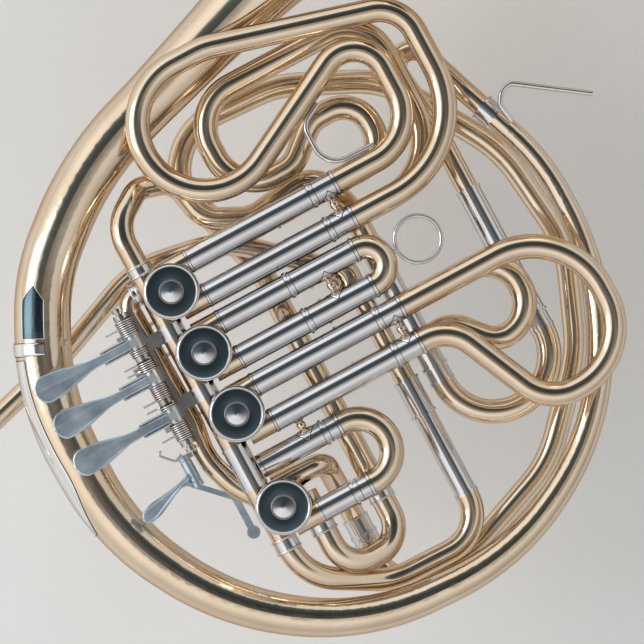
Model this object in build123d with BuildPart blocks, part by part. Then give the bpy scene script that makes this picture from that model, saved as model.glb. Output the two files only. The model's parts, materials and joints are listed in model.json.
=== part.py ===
"""Double horn in F and B-flat with rotary valves, its leadpipe and its mouthpiece.

Frame: millimetres. The origin is on the axis of valve 2, at mid height of the valve row.
+X runs along the valve slides, away from the finger levers. +Y runs along the valve row towards
valve 1. +Z points out of the valve caps.
"""
from build123d import *
import os
from math import cos, radians, sin

os.makedirs("parts", exist_ok=True)

# ---------------------------------------------------------------- driving dimensions
TUBE_R = 6.8            # outer radius of the cylindrical tubing
WALL = 0.6              # wall of all tubing
SLEEVE_BORE = 6.25      # bore of a slide sleeve
LEG_R = 6.2             # outer radius of a slide's inner leg
BEAD_R = 7.7            # outer radius of the beads round the sleeve ends
BEAD_W = 1.6

Z_FRONT = 9.0           # F slides
Z_REAR = -10.0          # B-flat slides
Z_CHANGE = 3.0          # change valve's own slide
Z_MID = -23.8           # tube from valve 1 to the tuning slide
Z_LONG = -27.0          # long tube beside the valves
Z_BACK = -30.0          # tuning slide and long slide leg
Z_DEEP = -45.0          # extra F coil inside the bell tail
Z_TAIL = -17.0          # bell tail and bell

VALVES = [(0.0, 38.0), (0.0, 0.0), (0.0, -38.0), (-1.5, -95.0)]
CASING_R = 15.0
CASING_TOP = 18.0
CASING_LOW = -20.0
SKIRT = 2.2             # how far a cap's skirt comes down over its casing
ROTOR_R = 11.52
ROTOR_BORE = 11.6
SHAFT_R = 3.0
PORT_R = 5.9
PORT_DY = 10.9          # ports beside a valve's axis
LINK_X = -10.5          # links between the valves
Z_LINK_HIGH = 7.0
SLEEVE_X0 = 15.5        # where the slide sleeves start

SLIDE_1 = (48.7, 27.3)
SLIDE_2 = (10.7, -11.3)
SLIDE_3 = (-28.7, -50.7)
SLEEVE_END = 93.0
FERRULE_END = 108.0
SHORT_SLEEVE_END = 59.0
SHORT_FERRULE_END = 100.0
REAR_SLEEVE_END = 70.0

HINGE_X = -31.5         # finger lever hinge
HINGE_Z = 8.0
HINGE_R = 2.0
LEVER_Y = (23.0, 0.9, -22.3)
STRING_Y = (28.5, 9.0, -28.5)   # string arms, beside the rotor shafts
HUB_R = 6.0

BELL_DIR = Vector(0.951, 0.309, 0)
BELL_START = Vector(38, 138, Z_TAIL)
BELL_LEN = 292.0
RIM_R = 155.0


# ---------------------------------------------------------------- helpers
def save(part, name):
    """Label a finished piece and write its STEP."""
    part.part.label = name
    export_step(part.part, f"parts/{name}.step")


def ring_section(plane, outer, wall):
    """Annular section on a plane."""
    with BuildSketch(plane) as section:
        Circle(outer)
        Circle(outer - wall, mode=Mode.SUBTRACT)
    return section


def add_tube(points, radii, outer=TUBE_R, wall=WALL):
    """Bent tube along straight runs and tangent arcs, added to the open part."""
    with BuildLine() as path:
        FilletPolyline(*points, radius=radii)
    section = ring_section(Plane(origin=path.line @ 0, z_dir=path.line % 0), outer, wall)
    sweep(section.sketch, path=path.line)


def add_straight(start, end, outer=TUBE_R, inner=TUBE_R - WALL):
    """Straight tube between two points, added to the open part; inner 0 makes a rod."""
    a = Vector(*start)
    b = Vector(*end)
    with BuildSketch(Plane(origin=a, z_dir=b - a)) as section:
        Circle(outer)
        if inner > 0:
            Circle(inner, mode=Mode.SUBTRACT)
    extrude(section.sketch, amount=(b - a).length)


def clear_casing(valve):
    """Cut the open part back from a valve casing."""
    with Locations((valve[0], valve[1], 0)):
        Cylinder(CASING_R + 0.05, 80, mode=Mode.SUBTRACT)


# ---------------------------------------------------------------- valves
def make_casing(name, valve, x_ports, y_ports):
    """Casing with a stub for every tube. A port is (offset, height, length) from the axis."""
    vx, vy = valve
    with BuildPart() as casing:
        with BuildSketch(Plane.XY.offset(CASING_LOW)):
            with Locations((vx, vy)):
                Circle(CASING_R)
        extrude(amount=CASING_TOP - SKIRT - CASING_LOW)
        with BuildSketch(Plane.XY.offset(CASING_TOP - SKIRT)):
            with Locations((vx, vy)):
                Circle(CASING_R - 0.8)
        extrude(amount=SKIRT)
        for dy, z, reach in x_ports:
            add_straight((vx, vy + dy, z), (reach, vy + dy, z), TUBE_R - 0.1, 0)
        for dx, z, reach in y_ports:
            add_straight((dx, vy, z), (dx, reach, z), TUBE_R - 0.1, 0)
        for dy, z, reach in x_ports:
            with BuildSketch(Plane(origin=(vx, vy + dy, z), z_dir=(1, 0, 0))):
                Circle(PORT_R)
            extrude(amount=reach - vx, mode=Mode.SUBTRACT)
        for dx, z, reach in y_ports:
            with BuildSketch(Plane(origin=(dx, vy, z), z_dir=(0, reach - vy, 0))):
                Circle(PORT_R)
            extrude(amount=abs(reach - vy), mode=Mode.SUBTRACT)
        with BuildSketch(Plane.XY.offset(CASING_LOW + 2)):
            with Locations((vx, vy)):
                Circle(ROTOR_BORE)
        extrude(amount=CASING_TOP - CASING_LOW, mode=Mode.SUBTRACT)
        with BuildSketch(Plane.XY.offset(CASING_LOW)):
            with Locations((vx, vy)):
                Circle(SHAFT_R + 0.05)
        extrude(amount=4, mode=Mode.SUBTRACT)
    save(casing, name)


def make_rotor(name, valve):
    """Rotor with two passages on each level and a shaft through the back plate."""
    vx, vy = valve
    low = CASING_LOW + 2.3
    high = CASING_TOP - 2.3
    with BuildPart() as rotor:
        with BuildSketch(Plane.XY.offset(low)):
            with Locations((vx, vy)):
                Circle(ROTOR_R)
        extrude(amount=high - low)
        for z in (Z_FRONT - 1, Z_REAR):
            for side in (-1, 1):
                with BuildSketch(Plane(origin=(vx + side * 10.5, vy + 20, z), z_dir=(0, -1, 0))):
                    Circle(PORT_R - 0.2)
                extrude(amount=40, mode=Mode.SUBTRACT)
        with BuildSketch(Plane.XY.offset(CASING_LOW - 8)):
            with Locations((vx, vy)):
                Circle(SHAFT_R)
        extrude(amount=CASING_TOP - 0.4 - (CASING_LOW - 8))
    save(rotor, name)


def make_stop_arm(name, valve, turn):
    """Hub on the rotor shaft with the string groove and the lug that meets the corks."""
    vx, vy = valve
    with BuildPart() as arm:
        with BuildSketch(Plane.XY.offset(CASING_LOW - 7)):
            with Locations((vx, vy)):
                Circle(HUB_R)
        extrude(amount=6.4)
        with BuildSketch(Plane.XY.offset(CASING_LOW - 3.2)):
            with Locations(Location((vx, vy, 0), (0, 0, turn))):
                with Locations((7.5, 0)):
                    Rectangle(11, 5)
        extrude(amount=2.6)
        with BuildSketch(Plane.XY.offset(CASING_LOW - 6)):
            with Locations((vx, vy)):
                Circle(HUB_R + 1)
                Circle(HUB_R - 0.8, mode=Mode.SUBTRACT)
        extrude(amount=1.8, mode=Mode.SUBTRACT)
        with BuildSketch(Plane.XY.offset(CASING_LOW - 8)):
            with Locations((vx, vy)):
                Circle(SHAFT_R + 0.03)
        extrude(amount=9, mode=Mode.SUBTRACT)
    save(arm, name)


def make_caps():
    """Screw caps: bright raised rim, flat field and a low cone in a thin ring."""
    with BuildPart() as caps:
        for vx, vy in VALVES:
            with BuildSketch(Plane(origin=(vx, vy, CASING_TOP), x_dir=(1, 0, 0), z_dir=(0, -1, 0))):
                with BuildLine():
                    Polyline((14.3, 0.1 - SKIRT), (15.6, 0.1 - SKIRT), (15.6, 1.6), (15.3, 2.2), (15.0, 2.3),
                             (14.9, 2.0), (14.7, 2.0), (14.6, 2.5), (14.2, 2.7), (13.8, 2.4), (13.5, 1.7), (6.7, 1.7),
                             (6.5, 2.2), (6.1, 2.2), (5.9, 1.7), (0, 2.9), (0, 0.15), (14.3, 0.15), (14.3, 0.1 - SKIRT))
                make_face()
            revolve(axis=Axis((vx, vy, 0), (0, 0, 1)))
    save(caps, "valve_caps")


def make_bearing_plates():
    """Plates that hold the rotors, under the caps."""
    with BuildPart() as plates:
        for vx, vy in VALVES:
            with BuildSketch(Plane.XY.offset(CASING_TOP - 2)):
                with Locations((vx, vy)):
                    Circle(ROTOR_BORE - 0.05)
                    Circle(SHAFT_R + 0.05, mode=Mode.SUBTRACT)
            extrude(amount=1.9)
    save(plates, "bearing_plates")


STOP_TURN = {0: 200, 1: 200, 2: 200, 3: 160}
CORK_GAP = 27.0         # angle between the lug's centre line and a cork it rests on
CORK_RING = 11.0


def make_corks():
    """Two stop corks behind each valve, a quarter turn of lug travel apart."""
    with BuildPart() as corks:
        for i, (vx, vy) in enumerate(VALVES):
            for angle in (STOP_TURN[i] - CORK_GAP, STOP_TURN[i] + 90 + CORK_GAP):
                a = radians(angle)
                with BuildSketch(Plane.XY.offset(CASING_LOW - 3.6)):
                    with Locations((vx + CORK_RING * cos(a), vy + CORK_RING * sin(a))):
                        Circle(1.9)
                extrude(amount=3.6)
    save(corks, "stop_corks")


def make_valves():
    top = 15.0
    pair = (PORT_DY, -PORT_DY)
    names = ("valve_1_casing", "valve_2_casing", "valve_3_casing", "change_valve_casing")
    slides = (SLIDE_1, SLIDE_2, SLIDE_3)
    for i in range(3):
        vy = VALVES[i][1]
        x_ports = [(y - vy, z, SLEEVE_X0) for y in slides[i] for z in (Z_FRONT, Z_REAR)]
        up = vy + top
        down = vy - top
        if i == 1:
            up, down = vy + 14.6, vy - 14.6
        heights = (Z_LINK_HIGH, Z_REAR)
        y_ports = [(LINK_X, z, down) for z in heights]
        if i > 0:
            y_ports += [(LINK_X, z, up) for z in heights]
        else:
            y_ports += [(LINK_X, -2.0, up)]
        make_casing(names[i], VALVES[i], x_ports, y_ports)
    vy = VALVES[3][1]
    make_casing(names[3], VALVES[3],
                [(-12.0, Z_CHANGE, 14.5), (11.0, Z_REAR, 14.5)],
                [(LINK_X, Z_LINK_HIGH, vy + 16), (LINK_X, Z_REAR, vy + 16),
                 (LINK_X, Z_REAR, vy - 15.5), (11.8, -10.0, vy - 15.5)])
    for i, valve in enumerate(VALVES):
        make_rotor(f"rotor_{i + 1}", valve)
        make_stop_arm(f"stop_arm_{i + 1}", valve, STOP_TURN[i])
    make_caps()
    make_bearing_plates()
    make_corks()


def make_links():
    """Nickel tubes between neighbouring valves, on both levels."""
    spans = ((23.0, 14.6), (-14.6, -23.0), (-53.0, -79.0))
    with BuildPart() as links:
        for y0, y1 in spans:
            for z in (Z_LINK_HIGH, Z_REAR):
                add_straight((LINK_X, y0, z), (LINK_X, y1, z), TUBE_R + 0.1, PORT_R)
                for y in (y0 - 0.8, y1 + 0.8):
                    add_straight((LINK_X, y - 0.7, z), (LINK_X, y + 0.7, z), TUBE_R + 0.5, TUBE_R)
    save(links, "valve_links")


# ---------------------------------------------------------------- slides
def make_sleeves(name, ys, z, x0, x1):
    """Fixed outer sleeves of one slide, along X, with a bead at each mouth."""
    with BuildPart() as sleeves:
        for y in ys:
            add_straight((x0, y, z), (x1, y, z), TUBE_R, SLEEVE_BORE)
            add_straight((x1 - BEAD_W, y, z), (x1, y, z), BEAD_R, TUBE_R - 0.1)
            add_straight((x0, y, z), (x0 + 1.0, y, z), TUBE_R + 0.4, TUBE_R - 0.1)
    save(sleeves, name)


def make_legs(name, ys, z, x0, x1, x2, brace_x):
    """Inner legs of a slide with the ferrules that carry its bow, and the brace between them."""
    with BuildPart() as legs:
        for y in ys:
            add_straight((x0, y, z), (x1, y, z), LEG_R, LEG_R - 0.5)
            add_straight((x1, y, z), (x2, y, z), TUBE_R, LEG_R - 0.5)
            add_straight((x1, y, z), (x1 + 1.0, y, z), TUBE_R + 0.4, TUBE_R - 0.1)
            add_straight((x2 - 1.4, y, z), (x2, y, z), TUBE_R + 0.6, TUBE_R - 0.1)
        low, high = min(ys) + TUBE_R - 0.3, max(ys) - TUBE_R + 0.3
        if brace_x:
            mid = (low + high) / 2
            with BuildSketch(Plane(origin=(brace_x, low, z), z_dir=(0, 1, 0))):
                Circle(1.6)
            extrude(amount=high - low)
            with BuildSketch(Plane(origin=(brace_x, mid - 1, z), z_dir=(0, 1, 0))):
                Circle(2.6)
            extrude(amount=2)
    save(legs, name)


def make_bow(name, points, radii, outer=TUBE_R):
    with BuildPart() as bow:
        add_tube(points, radii, outer)
    save(bow, name)


def make_front_slides():
    """The three F slides in the front layer."""
    z = Z_FRONT
    for name, ys in (("first", SLIDE_1), ("third", SLIDE_3)):
        make_sleeves(f"{name}_slide_sleeves", ys, z, SLEEVE_X0, SLEEVE_END)
        make_legs(f"{name}_slide_legs", ys, z, 30, SLEEVE_END + 0.6, FERRULE_END, 101.5)
    make_sleeves("second_slide_sleeves", SLIDE_2, z, SLEEVE_X0, SHORT_SLEEVE_END)
    make_legs("second_slide_legs", SLIDE_2, z, 24, SHORT_SLEEVE_END + 0.6, SHORT_FERRULE_END, 79)

    a, b = SLIDE_1
    make_bow("first_slide_bow",
             [(FERRULE_END, a, z), (161, a, z), (161, 122.2, z), (22.5, 50.1, z), (22.5, 148, z),
              (78, 148, z), (185.5, 118, z), (185.5, b, z), (FERRULE_END, b, z)],
             [28, 18.5, 37, 37, 40, 22, 52])
    c, d = SLIDE_2
    half = (c - d) / 2
    tip = SHORT_FERRULE_END + half + 0.4
    make_bow("second_slide_bow",
             [(SHORT_FERRULE_END, c, z), (tip, c, z), (tip, d, z), (SHORT_FERRULE_END, d, z)],
             [half - 0.05, half - 0.05])
    e, f = SLIDE_3
    make_bow("third_slide_bow",
             [(FERRULE_END, e, z), (209.5, e, z), (209.5, -114, z), (154, -114, z), (125.5, f, z),
              (FERRULE_END, f, z)],
             [43, 37, 26, 24])

    with BuildPart() as pull_ring:
        with BuildSketch(Plane(origin=(133.0, -0.3, z), x_dir=(1, 0, 0), z_dir=(0, -1, 0))):
            with Locations((12.9, 0)):
                Circle(1.2)
        revolve(axis=Axis((133.0, -0.3, z), (0, 0, 1)))
        add_straight((tip + TUBE_R + 0.02, -0.3, z), (120.4, -0.3, z), 1.3, 0)
    save(pull_ring, "second_slide_ring")

    with BuildPart() as pull_wire:
        with BuildLine() as path:
            FilletPolyline((119.5, 91.3, z), (106.8, 84.6, z), (106.8, 57.3, z), (136, 57.3, z),
                           radius=[9, 13])
        with BuildSketch(Plane(origin=path.line @ 0, z_dir=path.line % 0)):
            Circle(1.5)
        sweep(path=path.line)
    save(pull_wire, "first_slide_hook")


def make_rear_slides():
    """The three B-flat slides behind them."""
    z = Z_REAR
    with BuildPart() as sleeves:
        for y in SLIDE_1 + SLIDE_2 + SLIDE_3:
            add_straight((SLEEVE_X0, y, z), (REAR_SLEEVE_END, y, z), TUBE_R, SLEEVE_BORE)
            add_straight((REAR_SLEEVE_END - BEAD_W, y, z), (REAR_SLEEVE_END, y, z), BEAD_R, TUBE_R - 0.1)
    save(sleeves, "rear_slide_sleeves")

    x1 = REAR_SLEEVE_END + 0.6
    x2 = x1 + 8
    a, b = SLIDE_1
    c, d = SLIDE_2
    e, f = SLIDE_3
    half = (c - d) / 2
    tip = x2 + half + 0.4
    routes = {
        "rear_slide_1": ([(x2, a, z), (140.5, a, z), (140.5, 85.7, z), (112, 85.7, z), (92, 68.5, z),
                          (56, 68.5, z), (56, 124, z), (166, 124, z), (166, b, z), (x2, b, z)],
                         [17, 17, 16, 16, 24, 26, 24, 36]),
        "rear_slide_2": ([(x2, c, z), (tip, c, z), (tip, d, z), (x2, d, z)], [half - 0.05, half - 0.05]),
        "rear_slide_3": ([(x2, e, z), (171.5, e, z), (171.5, -70.5, z), (145, -70.5, z), (128, f, z),
                          (x2, f, z)], [20.5, 20.5, 16, 16]),
    }
    for name, (points, radii) in routes.items():
        ys = (points[0][1], points[-1][1])
        with BuildPart() as slide:
            for y in ys:
                add_straight((28, y, z), (x1, y, z), LEG_R, LEG_R - 0.5)
                add_straight((x1, y, z), (x2, y, z), TUBE_R + 0.2, LEG_R - 0.5)
            add_tube(points, radii)
        save(slide, name)


TUNING_X = (109.0, 172.0)
TUNING_SLEEVE = (11.6, -68.0)
TUNING_FERRULE = -77.0


def make_tuning_slide():
    """Main tuning slide, along Y in the back layer."""
    z = Z_BACK
    top, low = TUNING_SLEEVE
    with BuildPart() as sleeves:
        for x in TUNING_X:
            add_straight((x, top, z), (x, low, z), TUBE_R, SLEEVE_BORE)
            add_straight((x, low + BEAD_W, z), (x, low, z), BEAD_R, TUBE_R - 0.1)
            add_straight((x, top, z), (x, top - 1.2, z), TUBE_R + 0.5, TUBE_R - 0.1)
    save(sleeves, "tuning_slide_sleeves")
    with BuildPart() as legs:
        for x in TUNING_X:
            add_straight((x, 4, z), (x, low - 0.6, z), LEG_R, LEG_R - 0.5)
            add_straight((x, low - 0.6, z), (x, TUNING_FERRULE, z), TUBE_R, LEG_R - 0.5)
            add_straight((x, TUNING_FERRULE + 1.4, z), (x, TUNING_FERRULE, z), TUBE_R + 0.6, TUBE_R - 0.1)
    save(legs, "tuning_slide_legs")
    half = (TUNING_X[1] - TUNING_X[0]) / 2
    low_y = TUNING_FERRULE - half - 0.3
    make_bow("tuning_slide_bow",
             [(TUNING_X[0], TUNING_FERRULE, z), (TUNING_X[0], low_y, z), (TUNING_X[1], low_y, z),
              (TUNING_X[1], TUNING_FERRULE, z)], [half - 0.05, half - 0.05])


CHANGE_YS = (-70.0, -107.0)


def make_change_slide():
    """Slide of the change valve, along X below the third slide."""
    z = Z_CHANGE
    high, low = CHANGE_YS
    with BuildPart() as sleeves:
        for y, x0, x1 in ((high, -3.0, 38.0), (low, 14.5, 37.0)):
            add_straight((x0, y, z), (x1, y, z), TUBE_R, SLEEVE_BORE)
            add_straight((x1 - BEAD_W, y, z), (x1, y, z), BEAD_R, TUBE_R - 0.1)
    save(sleeves, "change_slide_sleeves")
    with BuildPart() as legs:
        for y, x0, x1 in ((high, 6.0, 38.6), (low, 16.0, 37.6)):
            add_straight((x0, y, z), (x1, y, z), LEG_R, LEG_R - 0.5)
            add_straight((x1, y, z), (47.0, y, z), TUBE_R, LEG_R - 0.5)
            add_straight((45.6, y, z), (47.0, y, z), TUBE_R + 0.6, TUBE_R - 0.1)
    save(legs, "change_slide_legs")
    half = (high - low) / 2
    tip = 67.2
    make_bow("change_slide_bow", [(47, high, z), (tip, high, z), (tip, low, z), (47, low, z)],
             [half - 0.05, half - 0.05])


# ---------------------------------------------------------------- fixed tubing
def make_tuning_inlet():
    """From valve 1's upper port, down behind the first slide, to the tuning slide."""
    with BuildPart() as tube:
        add_tube([(LINK_X, 53, -2), (LINK_X, 84, -2), (9, 98, -12), (29, 93, Z_MID), (34, 66, Z_MID),
                  (58, 54, Z_MID), (100, 60, Z_MID), (109, 34, Z_BACK), (109, TUNING_SLEEVE[0], Z_BACK)],
                 [22, 12, 14, 18, 20, 16, 22], 6.5)
    save(tube, "tuning_inlet")


def make_first_branch():
    """From the tuning slide to the small end of the bell tail."""
    with BuildPart() as tube:
        add_tube([(172, TUNING_SLEEVE[0], Z_BACK), (172, 50, Z_BACK), (167, 96, Z_BACK),
                  (184, 95, Z_BACK + 3), (196, 58.7, Z_TAIL), (TAIL_ROUTE[0][0], TAIL_ROUTE[0][1], Z_TAIL)],
                 [40, 9, 9, 25], 6.0)
    save(tube, "first_branch")


def make_long_tube():
    """From the change valve round a bow and up beside the valves, then round inside the bell tail."""
    with BuildPart() as bow:
        add_tube([(11.8, -110.5, Z_REAR), (11.8, -144.4, Z_REAR), (48.3, -144.4, Z_LONG),
                  (48.3, -113, Z_LONG)], [17.5, 17.5])
        add_tube([(91, -139, Z_BACK), (91, -163, Z_BACK), (32, -162, Z_BACK), (LINK_X, -136, Z_REAR),
                  (LINK_X, -110.5, Z_REAR)], [23, 34, 32], 6.6)
    save(bow, "change_crooks")
    with BuildPart() as tube:
        add_tube([(48.3, -113, Z_LONG), (48.3, -8, Z_LONG), (48.3, 26, Z_DEEP), (30, 92, Z_DEEP),
                  (48, 117, Z_DEEP), (105, 114, Z_DEEP), (160, 88, Z_DEEP), (200, 22, Z_DEEP),
                  (207, -42, Z_DEEP), (184, -98, Z_DEEP), (140, -146, Z_DEEP), (75, -171, Z_DEEP),
                  (29.3, -166, Z_DEEP), (29.3, -138, Z_DEEP)],
                 [40, 40, 22, 35, 60, 60, 80, 70, 80, 70, 60, 18])
    save(tube, "extension_coil")
    with BuildPart() as elbow:
        add_tube([(14.5, -84, Z_REAR), (29.3, -84, Z_REAR), (29.3, -101, -38), (29.3, -120, Z_DEEP),
                  (29.3, -138, Z_DEEP)], [9, 16, 30], 6.4)
    save(elbow, "change_elbow")


def make_long_leg():
    """Leadpipe side: nickel leg in its sleeve and the wide crook to the change valve."""
    x = 91.0
    z = Z_BACK
    with BuildPart() as sleeve:
        add_straight((x, -66, z), (x, -88.5, z), TUBE_R, 6.3)
        add_straight((x, -66, z), (x, -67.4, z), BEAD_R - 0.2, TUBE_R - 0.1)
        add_straight((x, -87, z), (x, -88.5, z), BEAD_R, TUBE_R - 0.1)
    save(sleeve, "long_leg_sleeve")
    with BuildPart() as leg:
        add_straight((x, -70, z), (x, -137, z), 6.28, 5.6)
        add_straight((x, -137, z), (x, -139, z), TUBE_R + 0.2, 5.6)
    save(leg, "long_leg")


def make_side_tube():
    """Tube from valve 1 along the lever hinge to the change valve."""
    with BuildPart() as tube:
        add_tube([(-17.7, 46.2, -6.5), (-26, 46.2, -6.5), (-24.6, -32, -6.5), (-27.5, -52, -6.5),
                  (-21, -73, -6.5), (-9.5, -88, -6.5)], [7.8, 40, 40, 40], 6.0)
        clear_casing(VALVES[3])
        clear_casing(VALVES[0])
        with BuildSketch(Plane(origin=(LINK_X, -79, Z_LINK_HIGH), z_dir=(0, 1, 0))):
            Circle(TUBE_R + 0.6)
        extrude(amount=30, both=True, mode=Mode.SUBTRACT)
        with BuildSketch(Plane(origin=(LINK_X, -79, Z_REAR), z_dir=(0, 1, 0))):
            Circle(TUBE_R + 0.6)
        extrude(amount=30, both=True, mode=Mode.SUBTRACT)
    save(tube, "side_tube")


RECEIVER_END = Vector(-196, 3, -43)
RECEIVER_DIR = Vector(-0.965, -0.262, 0)
RECEIVER_LEN = 34.0


def make_leadpipe():
    """Tapered pipe from the mouthpiece receiver, behind the bell tail, to the long leg."""
    with BuildPart() as pipe:
        add_tube([tuple(RECEIVER_END - RECEIVER_DIR * RECEIVER_LEN), (-73, 36.5, -43), (-14, 60, -38),
                  (37, 51, -31.5), (91, 2, Z_BACK), (91, -66, Z_BACK)],
                 [120, 60, 60, 55], 6.0)
    save(pipe, "leadpipe")
    with BuildPart() as receiver:
        with BuildSketch(Plane(origin=RECEIVER_END, x_dir=(0, 0, 1),
                               z_dir=(-RECEIVER_DIR.Y, RECEIVER_DIR.X, 0))):
            with BuildLine():
                Polyline((4.15, 0), (6.6, 0), (6.6, -3), (6.1, -4), (6.1, -20), (6.7, -21), (6.7, -24),
                         (6.1, -25), (6.1, -RECEIVER_LEN), (3.2, -RECEIVER_LEN), (3.2, -27), (4.15, 0))
            make_face()
        revolve(axis=Axis(tuple(RECEIVER_END), tuple(RECEIVER_DIR)))
    save(receiver, "mouthpiece_receiver")


def make_mouthpiece():
    """Horn mouthpiece: rim, deep funnel cup, backbore and tapered shank."""
    along = RECEIVER_DIR
    with BuildPart() as piece:
        with BuildSketch(Plane(origin=RECEIVER_END, x_dir=(0, 0, 1), z_dir=(-along.Y, along.X, 0))):
            with BuildLine():
                Polyline((4.08, 0.4), (4.35, 6), (4.7, 14), (5.2, 20), (6.0, 22), (6.0, 23.5), (5.3, 25),
                         (6.8, 31), (8.6, 37), (10.2, 40), (12.0, 42), (12.6, 43.6), (12.2, 45.2),
                         (11.0, 46), (9.8, 45.6), (8.8, 44.4), (7.0, 40), (4.6, 32), (2.6, 24), (2.3, 20),
                         (2.6, 8), (3.0, -22), (3.32, -22), (4.08, 0.4))
            make_face()
        revolve(axis=Axis(tuple(RECEIVER_END), tuple(along)))
    save(piece, "mouthpiece")


# ---------------------------------------------------------------- bell
# stations of the bell tail: x, y and heading in degrees
TAIL_ROUTE = [(201.5, 44.0, -69.4), (215.5, -16.0, -90.0), (190.0, -109.5, -122.0), (131.4, -162.9, -152.5),
              (53.7, -178.4, -183.0), (-22.0, -155.0, -213.5), (-74.8, -95.7, -242.0), (-91.4, -18.1, -269.5),
              (-70.5, 61.0, -298.0), (-37.5, 99.5, -320.0), (38.0, 138.0, -342.0)]


def tail_radius(t):
    """Outer radius of the bell tail at a fraction t of its length: it opens early, then slowly."""
    return 6.1 + 9.6 * (min(t / 0.74, 1.0)) ** 1.7 + 0.5 * max(t - 0.74, 0) / 0.26


def heading(degrees):
    return Vector(cos(radians(degrees)), sin(radians(degrees)), 0)


def tail_lines():
    """Centre line of the bell tail: a tangent arc between stations, with short straights at them."""
    lines = []
    here = Vector(TAIL_ROUTE[0][0], TAIL_ROUTE[0][1], Z_TAIL)
    for (x0, y0, h0), (x1, y1, h1) in zip(TAIL_ROUTE, TAIL_ROUTE[1:]):
        a = heading(h0)
        b = heading(h1)
        gap = Vector(x1 - x0, y1 - y0, 0)
        turn = a.cross(b).Z
        before = gap.cross(b).Z / turn
        after = a.cross(gap).Z / turn
        reach = 0.98 * min(before, after)
        corner = Vector(x0, y0, Z_TAIL) + a * before
        with BuildLine() as run:
            Line(here, corner - a * reach)
        with BuildLine() as bend:
            TangentArc(corner - a * reach, corner + b * reach, tangent=a)
        lines += [run.line.edges()[0], bend.line.edges()[0]]
        here = corner + b * reach
    with BuildLine() as run:
        Line(here, (TAIL_ROUTE[-1][0], TAIL_ROUTE[-1][1], Z_TAIL))
    lines.append(run.line.edges()[0])
    return lines


def tail_piece(line, start_r, end_r):
    """Round solid that tapers along one straight or arc of the tail."""
    with BuildPart() as solid:
        with BuildSketch(Plane(origin=line @ 0, x_dir=(0, 0, 1), z_dir=line % 0)) as first:
            Circle(start_r)
        with BuildSketch(Plane(origin=line @ 1, x_dir=(0, 0, 1), z_dir=line % 1)) as last:
            Circle(end_r)
        if line.geom_type == GeomType.LINE:
            loft([first.sketch, last.sketch])
        else:
            sweep([first.sketch, last.sketch], path=line, multisection=True)
    return solid.part


def make_bell():
    lines = tail_lines()
    total = sum(line.length for line in lines)
    done = 0
    with BuildPart() as tail:
        for line in lines:
            start_r = tail_radius(done / total)
            done += line.length
            end_r = tail_radius(done / total)
            with BuildPart() as shell:
                add(tail_piece(line, start_r, end_r))
                add(tail_piece(line, start_r - WALL, end_r - WALL), mode=Mode.SUBTRACT)
            add(shell.part)
    save(tail, "bell_tail")

    length = BELL_LEN
    start_r = tail_radius(1)
    with BuildPart() as flare:
        with BuildSketch(Plane(origin=BELL_START, x_dir=(0, 0, 1), z_dir=(-BELL_DIR.Y, BELL_DIR.X, 0))):
            with BuildLine():
                outside = Spline((start_r, 0), (19.5, 70), (27, 130), (41, 190), (70, 245), (110, 276),
                                 (RIM_R - 1.5, length - 1), tangents=[(0.035, 1), (1, 0.12)])
                inside = Spline((start_r - WALL, 0), (19.5 - 0.7, 70), (27 - 0.75, 130.2), (41 - 0.8, 190.5),
                                (70 - 0.8, 245.8), (110 - 0.6, 276.8), (RIM_R - 1.5, length),
                                tangents=[(0.035, 1), (1, 0.12)])
                Line(outside @ 0, inside @ 0)
                Line(outside @ 1, inside @ 1)
            make_face()
        revolve(axis=Axis(tuple(BELL_START), tuple(BELL_DIR)))
    save(flare, "bell_flare")

    rim_at = BELL_START + BELL_DIR * (length - 0.5)
    with BuildPart() as rim:
        with BuildSketch(Plane(origin=rim_at, x_dir=(0, 0, 1), z_dir=(-BELL_DIR.Y, BELL_DIR.X, 0))):
            with BuildLine():
                Polyline((RIM_R - 1.5, -1.6), (RIM_R + 0.6, -1.6), (RIM_R + 1.8, -0.8), (RIM_R + 1.8, 0.6),
                         (RIM_R + 0.8, 1.6), (RIM_R - 1.5, 1.6), (RIM_R - 1.5, -1.6))
            make_face()
        revolve(axis=Axis(tuple(rim_at), tuple(BELL_DIR)))
    save(rim, "bell_rim")

    ferrule_mid = lines[0] @ 0
    along = lines[0] % 0
    with BuildPart() as ferrule:
        add_straight(tuple(ferrule_mid - along * 5), tuple(ferrule_mid + along * 5), 7.2, 6.5)
        for s in (-5, 3.6):
            add_straight(tuple(ferrule_mid + along * s), tuple(ferrule_mid + along * (s + 1.4)), 7.8, 7.0)
    save(ferrule, "tail_ferrule")


# ---------------------------------------------------------------- levers
POSTS = ((37.5, 40.5), (12.0, 15.0), (-15.0, -12.0), (-40.5, -37.5))
SLEEVES_Y = ((16.0, 28.5), (-6.0, 6.0), (-28.5, -16.0))
RAIL_Z = 0.8            # underside of the hinge's rail
FEET_Y = (18.8, -18.8)
SPRINGS_Y = ((29.2, 36.8), (6.6, 11.4), (-11.4, -6.6), (-36.8, -29.2))


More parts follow.
